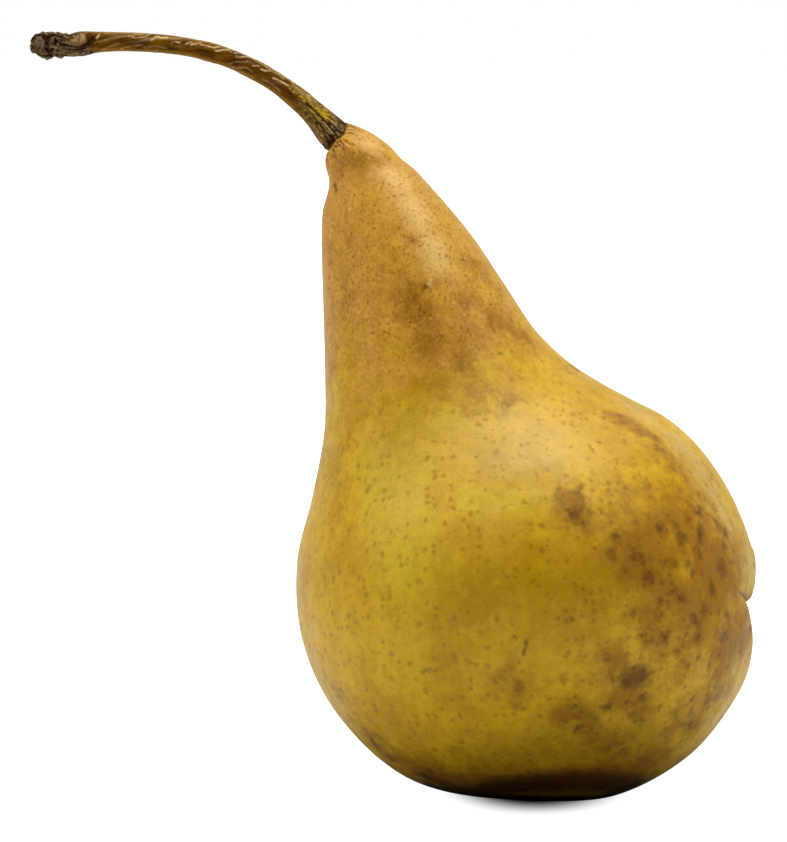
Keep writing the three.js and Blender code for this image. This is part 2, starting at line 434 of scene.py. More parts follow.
def to_pixels(points):
    """Where points show in the picture, as pixels from its upper left corner."""
    up = np.array([0.0, np.sin(CAMERA_ELEVATION), np.cos(CAMERA_ELEVATION)])
    away = points - CAMERA_AIM
    scale = CAMERA_DISTANCE / (CAMERA_DISTANCE - away @ TOWARDS_CAMERA) / PIXEL_MM
    across = IMAGE_WIDTH_PX / 2 + away[..., 0] * scale
    down = IMAGE_HEIGHT_PX / 2 - (away @ up) * scale
    return np.stack([across, down], axis=-1)


def stroke_cover(points, corners, radius):
    """1 on the line through the corners, fading to 0 within about two radii."""
    distance = np.full(points.shape[:-1], np.inf)
    for start, end in zip(corners, corners[1:] + corners[-1:]):
        run = end - start
        share = ((points - start) @ run) / max(run @ run, 1e-9)
        nearest = start + np.clip(share, 0, 1)[..., None] * run
        distance = np.minimum(distance, np.linalg.norm(points - nearest, axis=-1))
    return np.exp(-(distance / radius) ** 2)


def marks_cover(grid, normals, marks):
    """How much each point of the skin is covered by a list of marks, 0 to 1."""
    pixels = to_pixels(grid)
    turned_away = np.where(normals @ TOWARDS_CAMERA > 0.0, 0, 1000)
    cover = np.zeros(grid.shape[:2])
    for radius, strength, *places in marks:
        corners = []
        for place in places:
            distance = np.linalg.norm(pixels - np.array(place), axis=-1) + turned_away
            corners.append(grid.reshape(-1, 3)[distance.argmin()])
        cover = np.maximum(cover, strength * stroke_cover(grid, corners, radius))
    return cover


def back_cover(grid, normals, seed, count, smallest, largest):
    """Scattered marks on the side that the picture doesn't show."""
    random = np.random.default_rng(seed)
    candidates = grid[normals[..., 1] > 0.2]
    cover = np.zeros(grid.shape[:2])
    for middle in candidates[random.integers(0, len(candidates), count)]:
        radius = random.uniform(smallest, largest)
        strength = random.uniform(0.4, 0.9)
        cover = np.maximum(cover, strength * stroke_cover(grid, [middle], radius))
    return cover


def grid_normals(grid):
    """Outward normals of a closed tube of points, rows along it and columns round it."""
    along = np.gradient(grid, axis=0)
    around = np.roll(grid, -1, axis=1) - np.roll(grid, 1, axis=1)
    normals = np.cross(around, along)
    length = np.linalg.norm(normals, axis=2, keepdims=True)
    return normals / np.maximum(length, 1e-9)


def tube_faces(rows, columns, first):
    """Faces of one closed tube whose points are numbered from first, with its two end points last."""
    row, column = np.mgrid[0:rows - 1, 0:columns]
    following = (column + 1) % columns
    corners = [row * columns + column, row * columns + following,
               (row + 1) * columns + following, (row + 1) * columns + column]
    faces = (np.stack(corners, axis=-1).reshape(-1, 4) + first).tolist()
    start, end = first + rows * columns, first + rows * columns + 1
    last = first + (rows - 1) * columns
    for i in range(columns):
        after = (i + 1) % columns
        faces.append([start, first + after, first + i])
        faces.append([end, last + i, last + after])
    return faces


def tube_mesh(name, grids, marks=None):
    """A piece of closed tubes, one for each grid of points. Marks are named values for all its points."""
    points, faces = [], []
    for grid in grids:
        rows, columns = grid.shape[:2]
        faces += tube_faces(rows, columns, sum(map(len, points)))
        points.append(np.vstack([grid.reshape(-1, 3), grid[0].mean(axis=0), grid[-1].mean(axis=0)]) * MM)
    mesh = bpy.data.meshes.new(name)
    mesh.from_pydata(np.vstack(points).tolist(), [], faces)
    mesh.shade_smooth()
    for mark, values in (marks or {}).items():
        rows, columns = values.shape[:2]
        values = values.reshape(rows, columns, -1)
        ends = np.stack([values[0].mean(axis=0), values[-1].mean(axis=0)])
        every = np.vstack([values.reshape(rows * columns, -1), ends]).astype(np.float32)
        vector = every.shape[1] == 3
        layer = mesh.attributes.new(mark, "FLOAT_VECTOR" if vector else "FLOAT", "POINT")
        layer.data.foreach_set("vector" if vector else "value", every.ravel())
    piece = bpy.data.objects.new(name, mesh)
    bpy.context.scene.collection.objects.link(piece)
    return piece


def stand_for(piece, node, material):
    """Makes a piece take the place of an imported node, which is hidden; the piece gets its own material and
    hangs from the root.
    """
    piece.data.materials.append(material)
    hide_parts(node)
    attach(piece, "root")


# ---- Materials ----

OCHRE = rgb(214, 169, 24)
DEEP_OCHRE = rgb(194, 150, 6)
GREENISH = rgb(208, 174, 34)
# olive skin, and painted shade
OLIVE_AND_SHADE_TINT = rgb(158, 120, 4)
WARM_NECK = rgb(206, 150, 56)
BROWN_MOTTLE = rgb(156, 110, 2)
YELLOW_MOTTLE = rgb(230, 186, 50)
# painted highlights
PAINTED_HIGHLIGHT = rgb(240, 202, 118)
# painted reflection
PAINTED_REFLECTION = rgb(198, 165, 94)
# brown staining, and painted shade
BROWN_STAIN_AND_SHADE = rgb(142, 92, 14)
BLOT = rgb(100, 58, 4)
PORE_TINT = (0.6, 0.44, 0.1, 1.0)  # multiplies the colour under it
DARK_GRIT = rgb(138, 92, 12)
PALE_GRIT = rgb(232, 196, 106)
DARK_SPOT = rgb(100, 60, 6)
# browning with painted shade on the underside
UNDERSIDE_BROWNING_AND_SHADE = rgb(70, 41, 4)
# painted shade in creases, the fold and the basin, and the dark joint at the stem
CREASE_SHADE_AND_JOINT = rgb(84, 50, 8)
DRY_CRUST = rgb(206, 168, 104)

STEM_BROWN = [rgb(66, 40, 0), rgb(122, 80, 2)]  # darker and lighter, as below
STEM_FOOT = [rgb(76, 54, 26), rgb(174, 138, 86)]
STEM_BARK = [rgb(44, 32, 18), rgb(142, 118, 84)]
BUD_SCAR = [rgb(128, 96, 62), rgb(176, 138, 86)]
# painted rim reflections
STEM_RIM_REFLECTION = rgb(172, 126, 46)
YELLOW_FLAKE = rgb(196, 160, 34)
STEM_GLINT = rgb(240, 202, 138)
# painted shade in grooves, cracks and pits, and the dark joint
STEM_GROOVE_SHADE_AND_JOINT = rgb(42, 26, 4)
DRY_SEPAL = [rgb(62, 44, 26), rgb(124, 96, 58)]


class Look:
    """A material in the making: each call adds a node and returns its output."""

    def __init__(self, name):
        self.material = bpy.data.materials.new(name)
        self.material.use_nodes = True
        self.tree = self.material.node_tree
        self.surface = self.tree.nodes["Principled BSDF"]
        self.place = self.add("ShaderNodeTexCoord").outputs["Object"]

    def add(self, kind, inputs=None, **settings):
        node = self.tree.nodes.new(kind)
        for key, value in settings.items():
            setattr(node, key, value)
        for key, value in (inputs or {}).items():
            self.feed(node.inputs[key], value)
        return node

    def feed(self, socket, value):
        if isinstance(value, bpy.types.NodeSocket):
            self.tree.links.new(value, socket)
        else:
            socket.default_value = value

    def noise(self, size, detail=2.0, roughness=0.5, distortion=0.0, place=None):
        """Cloudy values of 0 to 1, with features about size millimetres wide."""
        scale = 1.0 / (size * MM) if place is None else 1.0 / size
        inputs = {"Vector": place or self.place, "Scale": scale, "Detail": detail,
                  "Roughness": roughness, "Distortion": distortion}
        return self.add("ShaderNodeTexNoise", inputs).outputs["Fac"]

    def cells(self, size):
        """Distance from the nearest of scattered points, in cell sizes, and a random colour for each."""
        inputs = {"Vector": self.place, "Scale": 1.6 / (size * MM), "Detail": 3.0}
        wander = self.add("ShaderNodeTexNoise", inputs)
        shift = self.add("ShaderNodeVectorMath", {0: wander.outputs["Color"], 1: (0.5, 0.5, 0.5)},
                         operation="SUBTRACT").outputs["Vector"]
        place = self.add("ShaderNodeVectorMath", {0: shift, 1: (0.8 * size * MM,) * 3, 2: self.place},
                         operation="MULTIPLY_ADD").outputs["Vector"]
        node = self.add("ShaderNodeTexVoronoi", {"Vector": place, "Scale": 1.0 / (size * MM)})
        return node.outputs["Distance"], node.outputs["Color"]

    def mark(self, name):
        return self.add("ShaderNodeAttribute", attribute_name=name).outputs["Fac"]

    def spread(self, value, low, high, first=0.0, last=1.0):
        """Smoothly turns low to high into first to last."""
        inputs = {"Value": value, "From Min": low, "From Max": high, "To Min": first, "To Max": last}
        return self.add("ShaderNodeMapRange", inputs, interpolation_type="SMOOTHSTEP").outputs["Result"]

    def maths(self, operation, first, second):
        return self.add("ShaderNodeMath", {0: first, 1: second}, operation=operation).outputs["Value"]

    def blend(self, share, first, second, kind="MIX"):
        inputs = {"Fac": share, "Color1": first, "Color2": second}
        return self.add("ShaderNodeMixRGB", inputs, blend_type=kind).outputs["Color"]

    def tint(self, colour, share, paint, strength=1.0):
        """The colour with paint over it, as thick as share times strength."""
        if strength < 1.0:
            share = self.maths("MULTIPLY", share, strength)
        return self.blend(share, colour, paint)

    def ragged(self, name, clouds, amount, contrast=0.2):
        """A mark with up to amount added or taken away by clouds of noise, so that its edge wanders."""
        wander = self.spread(clouds, 0.5 - contrast, 0.5 + contrast, -amount, amount)
        return self.maths("ADD", self.mark(name), wander)

    def bump(self, height, depth, below=None):
        """Small relief of at most depth millimetres; below is the bump that it lies on."""
        node = self.add("ShaderNodeBump", {"Height": height, "Distance": depth * MM, "Strength": 1.0})
        if below is not None:
            self.feed(node.inputs["Normal"], below)
        return node.outputs["Normal"]


def lenticels(look, size, smallest, largest, softness):
    """Scattered breathing pores: 1 in the middle of each, 0 outside. Sizes are in cells."""
    distance, colour = look.cells(size)
    pick = look.add("ShaderNodeSeparateColor", {0: colour}).outputs[0]
    edge = look.spread(pick, 0.0, 1.0, smallest, largest)
    return look.spread(look.maths("SUBTRACT", edge, distance), -softness, softness)


def skin_ground(look):
    """Ochre skin with greener, olive and warm areas, painted shade, painted highlights, pale painted
    reflections and a fine mottle.
    """
    clouds = look.noise(11.0, 3.0, 0.55)
    colour = look.blend(look.spread(clouds, 0.36, 0.66), OCHRE, DEEP_OCHRE)
    fresh = look.ragged("fresh", clouds, -0.3)
    colour = look.tint(colour, look.spread(fresh, 0.1, 0.9), GREENISH)
    # olive skin, and painted shade across the belly and near the bottom
    colour = look.tint(colour, look.mark("olive"), OLIVE_AND_SHADE_TINT, 0.75)
    warm = look.ragged("neck", look.noise(7.0, 4.0, 0.6), 0.35)
    colour = look.tint(colour, look.spread(warm, 0.15, 0.95), WARM_NECK)
    mottle = look.noise(2.2, 5.0, 0.7)
    colour = look.tint(colour, look.spread(mottle, 0.42, 0.75, 0.0, 0.42), BROWN_MOTTLE)
    colour = look.tint(colour, look.spread(mottle, 0.5, 0.25, 0.0, 0.32), YELLOW_MOTTLE)
    # painted highlights on the neck lumps and the shoulder
    colour = look.tint(colour, look.mark("painted_highlight"), PAINTED_HIGHLIGHT, 0.65)
    # painted reflection of a light on the right, broken up by the mottle
    pale = look.maths("MULTIPLY", look.mark("pale"), look.spread(mottle, 0.62, 0.38, 0.45, 0.95))
    return look.tint(colour, pale, PAINTED_REFLECTION)


def skin_russet_and_shade(look, colour):
    """Lays on brown staining, partly painted shade, with darker blots in it. Returns the colour and the
    veil.
    """
    veil = look.ragged("russet_and_shade", look.noise(3.0, 5.0, 0.7, 0.4), 0.28, 0.22)
    veil = look.spread(veil, 0.05, 0.95)
    # brown staining, and painted shade by the lip, the neck's left edge and the bottom
    colour = look.tint(colour, veil, BROWN_STAIN_AND_SHADE, 0.8)
    blots = look.maths("MULTIPLY", lenticels(look, 2.6, 0.1, 0.38, 0.25), veil)
    blots = look.maths("MULTIPLY", blots, look.spread(look.mark("neck"), 0.0, 1.0, 1.0, 0.25))
    return look.tint(colour, blots, BLOT, 0.75), veil


def skin_pores(look, colour):
    """Lays on breathing pores, and grit that is strongest on the neck. Returns the colour and the pores."""
    belly_pores = look.maths("MULTIPLY", lenticels(look, 1.25, 0.02, 0.34, 0.2), 0.65)
    neck_pores = look.maths("MULTIPLY", lenticels(look, 0.75, 0.0, 0.3, 0.15), 0.9)
    pores = look.blend(look.mark("neck"), belly_pores, neck_pores)
    colour = look.blend(pores, colour, PORE_TINT, "MULTIPLY")
    grit = look.noise(0.5, 4.0, 0.75)
    gritty = look.spread(look.mark("neck"), 0.0, 1.0, 0.25, 1.0)
    dark = look.maths("MULTIPLY", look.spread(grit, 0.53, 0.7, 0.0, 0.9), gritty)
    colour = look.tint(colour, dark, DARK_GRIT)
    pale = look.maths("MULTIPLY", look.spread(grit, 0.47, 0.3, 0.0, 0.4), gritty)
    return look.tint(colour, pale, PALE_GRIT), pores


def skin_spots(look, colour):
    """Lays on single dark spots, browning and painted shade on the underside, painted shade in creases, and
    dry crusts.
    """
    spot = look.ragged("spot", look.noise(1.1, 4.0, 0.65), 0.22)
    colour = look.tint(colour, look.spread(spot, 0.12, 0.95), DARK_SPOT, 0.8)
    # browning with painted shade on the underside
    colour = look.tint(colour, look.mark("shade"), UNDERSIDE_BROWNING_AND_SHADE, 0.95)
    # painted shade in creases, the fold and the basin, and the dark joint at the stem
    colour = look.tint(colour, look.spread(look.mark("crease_shade_and_joint"), 0.15, 1.0), CREASE_SHADE_AND_JOINT)
    crust = look.ragged("crust", look.noise(0.4, 3.0), 0.4)
    return look.tint(colour, look.spread(crust, 0.4, 0.9), DRY_CRUST)


def skin_material():
    look = Look("pear_skin")
    colour, veil = skin_russet_and_shade(look, skin_ground(look))
    colour, pores = skin_pores(look, colour)
    look.feed(look.surface.inputs["Base Color"], skin_spots(look, colour))
    gloss = look.spread(look.noise(4.0, 3.0), 0.3, 0.7, 0.34, 0.46)
    gloss = look.maths("ADD", gloss, look.maths("MULTIPLY", veil, 0.1))
    look.feed(look.surface.inputs["Roughness"], gloss)
    grain = look.bump(look.noise(0.5, 3.0, 0.65), 0.035)
    pits = look.bump(look.maths("SUBTRACT", 1.0, pores), 0.015, grain)
    look.feed(look.surface.inputs["Normal"], look.bump(look.noise(3.5, 3.0, 0.5), 0.2, pits))
    look.surface.inputs["Specular IOR Level"].default_value = 0.2
    look.surface.inputs["Subsurface Weight"].default_value = 0.12
    look.surface.inputs["Subsurface Radius"].default_value = (3.0 * MM, 1.6 * MM, 0.5 * MM)
    look.surface.inputs["Subsurface Scale"].default_value = 1.0
    return look.material


def stem_material():
    look = Look("pear_stem")
    grain = look.add("ShaderNodeAttribute", attribute_name="grain").outputs["Vector"]
    streaks = look.noise(0.5, 4.0, 0.6, 0.3, grain)
    fibres = look.noise(0.1, 4.0, 0.7, 0.0, grain)
    colour = look.blend(look.spread(streaks, 0.3, 0.7), *STEM_BROWN)
    # painted rim reflections along the upper and lower edges, broken by fibres
    rim_reflection = look.maths("MULTIPLY", look.mark("rim_reflection"), look.spread(fibres, 0.42, 0.58, 0.1, 0.85))
    colour = look.tint(colour, rim_reflection, STEM_RIM_REFLECTION)
    foot = look.blend(look.spread(fibres, 0.42, 0.6), *STEM_FOOT)
    colour = look.tint(colour, look.mark("foot"), foot)
    colour = look.tint(colour, look.mark("flake"), YELLOW_FLAKE)
    crumbs = look.noise(0.45, 5.0, 0.75)
    bark = look.blend(look.spread(crumbs, 0.38, 0.64), *STEM_BARK)
    scar = look.blend(look.spread(look.noise(0.9, 4.0), 0.4, 0.6), *BUD_SCAR)
    colour = look.tint(colour, look.mark("bark"), look.tint(bark, look.mark("scar"), scar))
    colour = look.tint(colour, look.mark("glint"), STEM_GLINT)
    # painted shade in grooves, cracks and pits, and the dark joint at the lip
    colour = look.tint(colour, look.mark("groove"), STEM_GROOVE_SHADE_AND_JOINT)
    look.feed(look.surface.inputs["Base Color"], colour)
    dull = look.maths("MAXIMUM", look.mark("bark"), look.maths("MULTIPLY", look.mark("foot"), 0.6))
    look.feed(look.surface.inputs["Roughness"], look.spread(dull, 0.0, 1.0, 0.42, 0.85))
    rough = look.maths("MULTIPLY", crumbs, look.mark("bark"))
    look.feed(look.surface.inputs["Normal"], look.bump(rough, 0.12, look.bump(fibres, 0.04)))
    look.surface.inputs["Specular IOR Level"].default_value = 0.04
    return look.material


def calyx_material():
    look = Look("pear_calyx")
    dry = look.noise(1.0, 4.0, 0.6)
    colour = look.blend(look.spread(dry, 0.35, 0.65), *DRY_SEPAL)
    look.feed(look.surface.inputs["Base Color"], colour)
    look.feed(look.surface.inputs["Roughness"], look.spread(dry, 0.3, 0.7, 0.7, 0.95))
    look.feed(look.surface.inputs["Normal"], look.bump(dry, 0.12))
    return look.material


# ---- The fruit ----

def skin_edges(places):
    rings = np.asarray(SKIN_RINGS)
    under = smooth_line(in_plane(rings[:, 0:2]), places)
    over = smooth_line(in_plane(rings[:, 2:4]), places)
    return under, over


def skin_places():
    """Places along the outline: close together at the lip and in the basin, wider on the belly."""
    places = np.linspace(0, len(SKIN_RINGS) - 1, 4000)
    steps = [np.linalg.norm(np.diff(edge, axis=0), axis=1) for edge in skin_edges(places)]
    travelled = np.append(0, np.cumsum(np.maximum(*steps)))
    from_ends = np.minimum(travelled, travelled[-1] - travelled)
    spacing = 0.3 + 0.7 * smooth_step(3.0, 16.0, from_ends)
    rows = np.append(0, np.cumsum(np.diff(travelled) / spacing[1:]))
    return np.interp(np.linspace(0, rows[-1], SKIN_ROWS), rows, places)


def ellipse(under, over, roundness):
    """One ring of points for each pair of edge points."""
    angle = np.linspace(0, 2 * np.pi, SKIN_SEGMENTS, endpoint=False)[None, :, None]
    centre = ((under + over) / 2)[:, None, :]
    half = ((over - under) / 2)[:, None, :]
    depth = np.linalg.norm(half, axis=2, keepdims=True) * np.reshape(roundness, (-1, 1, 1))
    side = np.array([0.0, 1.0, 0.0])
    return centre + half * np.cos(angle) - side * depth * np.sin(angle)


def socket_rings():
    across = np.array([-SOCKET_INWARD[2], 0.0, SOCKET_INWARD[0]])
    rings = []
    for depth, radius in SOCKET_RINGS:
        middle = SOCKET_MOUTH + SOCKET_INWARD * depth
        rings.append(ellipse((middle - across * radius)[None], (middle + across * radius)[None], 1.0))
    return np.concatenate(rings)


def press_fold(grid):
    """Presses in the fold across the rim of the basin. Returns how near its bottom line of painted shade is,
    0 to 1.
    """
    x, y, z = grid[..., 0], grid[..., 1], grid[..., 2]
    above = z - FOLD_Z - FOLD_CURVE * np.maximum(0, -y) ** 2
    reach = np.exp(-(y / FOLD_REACH) ** 4)
    upper_side = np.exp(-np.abs(above) / FOLD_WIDTH_ABOVE)
    lower_side = np.exp(-(above / FOLD_WIDTH_BELOW) ** 2)
    press = FOLD_DEPTH * reach * np.where(above > 0, upper_side, lower_side)
    line = np.exp(-(above / FOLD_LINE_WIDTH) ** 2 - (y / FOLD_LINE_REACH) ** 8)
    line *= 0.35 + 0.65 * smooth_step(-4.0, -8.0, y)
    line = np.where(x > FOLD_NEAREST_X, line, 0.0)
    x[:] = np.where(x > FOLD_NEAREST_X, np.maximum(FOLD_NEAREST_X, x - press), x)
    return line


def stem_creases(from_lip, angle):
    """Wrinkles that run down from the lip around the stem, and the ragged dark joint along it, 0 to 1."""
    random = np.random.default_rng(LIP_SEED)
    turns = angle + 0 * from_lip
    places = np.stack([2.7 * np.cos(turns), 2.7 * np.sin(turns), 0.22 * from_lip], axis=-1)
    fine = np.clip(1 - 2.2 * np.abs(fractal(places, 0.7, 3, 4.0)), 0, 1) ** 2
    creases = 0.9 * fine * np.exp(-(from_lip / 3.6) ** 2)
    lap = LIP_LAP * np.exp(-(np.angle(np.exp(1j * (turns - 0.1))) / 0.5) ** 2)
    ragged = (0.3 + lap) * (1 + 0.7 * fractal(places, 0.5, 3, 9.0))
    joint = np.exp(-(from_lip / np.maximum(ragged, 0.1)) ** 2)
    for i in range(LIP_WRINKLES):
        middle = 2 * np.pi * (i + random.uniform(-0.4, 0.4)) / LIP_WRINKLES
        width = random.uniform(0.03, 0.07)
        length = random.uniform(0.8, 3.0)
        bend = random.uniform(-0.09, 0.09)
        away = np.angle(np.exp(1j * (angle - middle - bend * from_lip)))
        depth = random.uniform(0.15, 0.6) * np.exp(-(from_lip / length) ** 2)
        creases = np.maximum(creases, depth * np.exp(-(away / width) ** 2))
    return creases, joint


def basin_marks(grid):
    """How deep each point lies in a furrow across the rim of the basin, and how near the basin it is."""
    across, above = grid[..., 1], grid[..., 2] - BASIN_FLOOR[2]
    distance = np.where(grid[..., 0] > 15.0, np.hypot(across, above), 99.0)
    turn = np.arctan2(above, across)
    furrows = np.zeros(distance.shape)
    for middle, width, depth in BASIN_FURROWS:
        away = np.angle(np.exp(1j * (turn - middle)))
        furrows = np.maximum(furrows, depth * np.exp(-(away / width) ** 2))
    return furrows * np.exp(-((distance - BASIN_RIM) / 3.5) ** 2), distance


def skin_covers(grid, normals, angle, from_lip):
    """How much each kind of mark with relief covers each point, and the distance from the basin."""
    drawn = {"spots": SPOTS, "crusts": CRUSTS, "crevices": CREVICES, "lumps": LUMPS_WITH_HIGHLIGHTS,
             "ridge": [RIDGE], "hollow": [HOLLOW], "collar": [COLLAR]}
    covers = {name: marks_cover(grid, normals, marks) for name, marks in drawn.items()}
    covers["wrinkles"] = np.maximum(*stem_creases(from_lip, angle))
    covers["furrows"], from_basin = basin_marks(grid)
    covers["back_spots"] = back_cover(grid, normals, BACK_SEED, BACK_SPOTS, *BACK_SPOT_RADII)
    return covers, from_basin


def skin_height(grid, normals, covers, from_basin):
    """How far each point of the skin is raised."""
    lumps = 0.35 * fractal(grid, 22.0, 2, 3.0) + 0.12 * fractal(grid, 6.0, 2, 8.0)
    height = lumps * np.abs(normals[..., 1])
    height += 0.1 * fractal(grid, 2.0, 3, 5.0) * np.exp(-(from_basin / BASIN_CRUMPLED) ** 2)
    for name, raised in RELIEF.items():
        height += raised * covers[name]
    return height


def skin_marks(grid, normals, covers, stains_and_shade, from_basin):
    """The values that the skin's material reads."""
    # browning with painted shade, darker towards the floor
    underside = smooth_step(*UNDERSIDE_BROWNING_AND_SHADE_HEIGHTS, grid[..., 2] + 1.5 * fractal(grid, 8.0, 3, 12.0))
    underside = np.maximum(underside, marks_cover(grid, normals, SHADE))
    shade_in_basin = np.exp(-(from_basin / BASIN_SHADE) ** 4)
    return {
        "neck": smooth_step(*NECK_SKIN, grid[..., 2] - 0.2 * grid[..., 0]),
        # olive skin, and painted shade across the belly and near the bottom
        "olive": marks_cover(grid, normals, OLIVE_AND_SHADE),
        "fresh": marks_cover(grid, normals, FRESH),
        # painted reflections
        "pale": marks_cover(grid, normals, REFLECTION_STRIPS),
        # painted highlights
        "painted_highlight": np.maximum(covers["lumps"], marks_cover(grid, normals, SHEEN)),
        "shade": smooth_step(0.15, 0.95, underside),
        # brown staining, and painted shade by the lip, the neck's left edge and the bottom
        "russet_and_shade": np.maximum(stains_and_shade, 0.8 * np.exp(-(from_basin / BASIN_RUSSET) ** 2)),
        "spot": np.maximum(covers["spots"], covers["back_spots"]),
        "crust": covers["crusts"],
        # painted shade in wrinkles, the fold, crevices, furrows and the basin; the dark joint at the stem
        "crease_shade_and_joint": np.maximum.reduce([0.9 * covers["wrinkles"], covers["fold_line"], covers["crevices"],
                                     0.35 * covers["furrows"], 0.9 * shade_in_basin]),
    }


def build_fruit():
    places = skin_places()
    under, over = skin_edges(places)
    rings = np.asarray(SKIN_RINGS)
    grid = ellipse(under, over, np.interp(places, np.arange(len(rings)), rings[:, 4]))
    fold_line = press_fold(grid)
    normals = grid_normals(grid)
    angle = np.linspace(0, 2 * np.pi, SKIN_SEGMENTS, endpoint=False)[None, :]
    from_lip = np.linalg.norm(grid - grid[:1], axis=-1)

    covers, from_basin = skin_covers(grid, normals, angle, from_lip)
    covers["fold_line"] = fold_line
    back_stains = back_cover(grid, normals, BACK_SEED + 1, BACK_STAINS, *BACK_STAIN_RADII)
    stains_and_shade = np.maximum(marks_cover(grid, normals, RUSSET_AND_SHADE), 0.8 * back_stains)

    grid += normals * skin_height(grid, normals, covers, from_basin)[..., None]
    around = (angle - LIP_DIP_ANGLE) / LIP_DIP_WIDTH
    dip = LIP_DIP * np.exp(-around ** 2 - (from_lip / LIP_DIP_LENGTH) ** 2)
    grid += SOCKET_INWARD * dip[..., None]
    grid[..., 2] = np.maximum(0, grid[..., 2])

    marks = skin_marks(grid, normals, covers, stains_and_shade, from_basin)
    socket = socket_rings()
    marks = {name: np.concatenate([np.zeros(socket.shape[:2]), values]) for name, values in marks.items()}
    fruit = tube_mesh("pear_fruit", [np.concatenate([socket, grid])], marks)
    stand_for(fruit, "fruit", skin_material())


# ---- The stem ----

def stem_axis():
    """Distance, radius, middle and direction of each ring of the stem."""
    line = smooth_line(in_plane(STEM_LINE), np.linspace(0, len(STEM_LINE) - 1, 4000))
    travelled = np.append(0, np.cumsum(np.linalg.norm(np.diff(line, axis=0), axis=1)))
    profile = smooth_line(in_plane(STEM_PROFILE), np.linspace(0, len(STEM_PROFILE) - 1, 4000))
    distance = np.linspace(0, STEM_PROFILE[-1][0], STEM_ROWS)
    radius = np.interp(distance, profile[:, 0], profile[:, 2])
    centre = np.stack([np.interp(distance, travelled, line[:, k]) for k in range(3)], axis=1)
    tangent = np.gradient(centre, axis=0)
    return distance, radius, centre, tangent / np.linalg.norm(tangent, axis=1, keepdims=True)


def stem_covers(surface, normals, grain, angle, along):
    """How much each region and each kind of mark of the stem covers each point, 0 to 1."""
    bare = smooth_step(PEG_LENGTH - 0.4, PEG_LENGTH + 0.6, along)
    knob = smooth_step(-0.25, 0.25, along - KNOB_START + 0.9 * np.sin(angle - 0.6))
    shaft = bare * (1 - knob)
    wander = STEM_RIDGES * (angle + STEM_TWIST * along) + 2.0 * fractal(grain, 0.8, 3, 7.0)
    broken = smooth_step(-0.3, 0.3, fractal(grain, 0.7, 2, 31.0))
    uneven = smooth_step(-0.6, 0.1, fractal(grain, 0.14, 2, 3.0))
    return {
        "knob": knob,
        "tip": smooth_step(*TIP_START, along + 0.6 * np.cos(angle)),
        "shaft": shaft,
        "foot": bare * (1 - smooth_step(*FOOT_END, along - 3.0 * np.cos(angle + 0.9))),
        "joint": smooth_step(*JOINT_END, along + 0.8 * fractal(grain, 0.5, 2, 14.0)) * bare,
        "ridges": (0.5 + 0.5 * np.cos(wander)) ** 4 * broken * shaft,
        "cracks": np.clip(1 - 4.5 * np.abs(fractal(grain, 0.3, 3, 21.0)), 0, 1) ** 2 * shaft,
        "scar": marks_cover(surface, normals, SCAR),
        "grooves": marks_cover(surface, normals, GROOVES),
        "glints": marks_cover(surface, normals, GLINTS) * uneven,
        "flakes": marks_cover(surface, normals, FLAKES),
    }


def stem_height(covers, crumbs):
    """How far each point of the stem is raised."""
    height = STEM_RIDGE_HEIGHT * covers["ridges"] + GLINT_HEIGHT * covers["glints"]
    height -= CRACK_DEPTH * covers["cracks"] * (1 + 2 * covers["foot"]) + GROOVE_DEPTH * covers["grooves"]
    height += SCAR_HEIGHT * covers["scar"]
    roughness = KNOB_ROUGHNESS + TIP_ROUGHNESS * covers["tip"]
    return height + covers["knob"] * (1 - covers["scar"]) * crumbs * roughness


def stem_marks(covers, crumbs, grain, angle, along):
    """The values that the stem's material reads."""
    foot, cracks = covers["foot"], covers["cracks"]
    upper_side = np.cos(angle)
    pits = covers["knob"] * (1 - covers["scar"]) * smooth_step(0.05, -0.35, crumbs)
    pits = pits * (0.4 + 0.6 * covers["tip"])
    flecks = smooth_step(0.1, 0.5, fractal(grain, 0.25, 3, 40.0)) * foot * (0.5 + 0.5 * np.cos(angle + 0.9))
    flecks = flecks * smooth_step(5.5, 8.0, along)
    shiny = 0.3 * covers["ridges"] * smooth_step(-0.4, 0.5, upper_side)
    # paler along the upper and lower edges: painted rim reflections
    rim_reflection = np.maximum(smooth_step(0.8, 0.98, upper_side), 0.8 * smooth_step(-0.45, -0.9, upper_side))
    # painted shade in cracks, knob pits and grooves, and the dark joint at the lip
    dark = (0.2 + 0.6 * foot) * cracks + 0.5 * covers["joint"] + pits + covers["grooves"]
    return {
        "grain": grain,
        "glint": np.clip(shiny + 0.9 * covers["glints"], 0, 1),
        "bark": covers["knob"],
        "scar": covers["scar"],
        "foot": foot,
        "flake": np.maximum(0.8 * flecks, covers["flakes"]),
        "rim_reflection": rim_reflection * covers["shaft"],
        "groove": np.clip(dark, 0, 0.95),
    }


def build_stem():
    distance, radius, centre, tangent = stem_axis()
    side = np.array([0.0, 1.0, 0.0])
    up = np.cross(side, tangent)[:, None]
    angle = np.linspace(0, 2 * np.pi, STEM_SEGMENTS, endpoint=False)[None, :]
    along = distance[:, None] + 0 * angle
    outward = up * np.cos(angle)[..., None] + side * np.sin(angle)[..., None]
    surface = centre[:, None] + radius[:, None, None] * outward
    twisted = angle + STEM_TWIST * along
    grain = np.stack([np.cos(twisted), np.sin(twisted), along / 6.0], axis=-1)

    normals = grid_normals(surface)
    covers = stem_covers(surface, normals, grain, angle, along)
    crumbs = fractal(surface, 1.0, 5, 2.0)
    surface += normals * stem_height(covers, crumbs)[..., None]
    stem = tube_mesh("pear_stem", [surface], stem_marks(covers, crumbs, grain, angle, along))
    stand_for(stem, "stem", stem_material())


# ---- The calyx ----

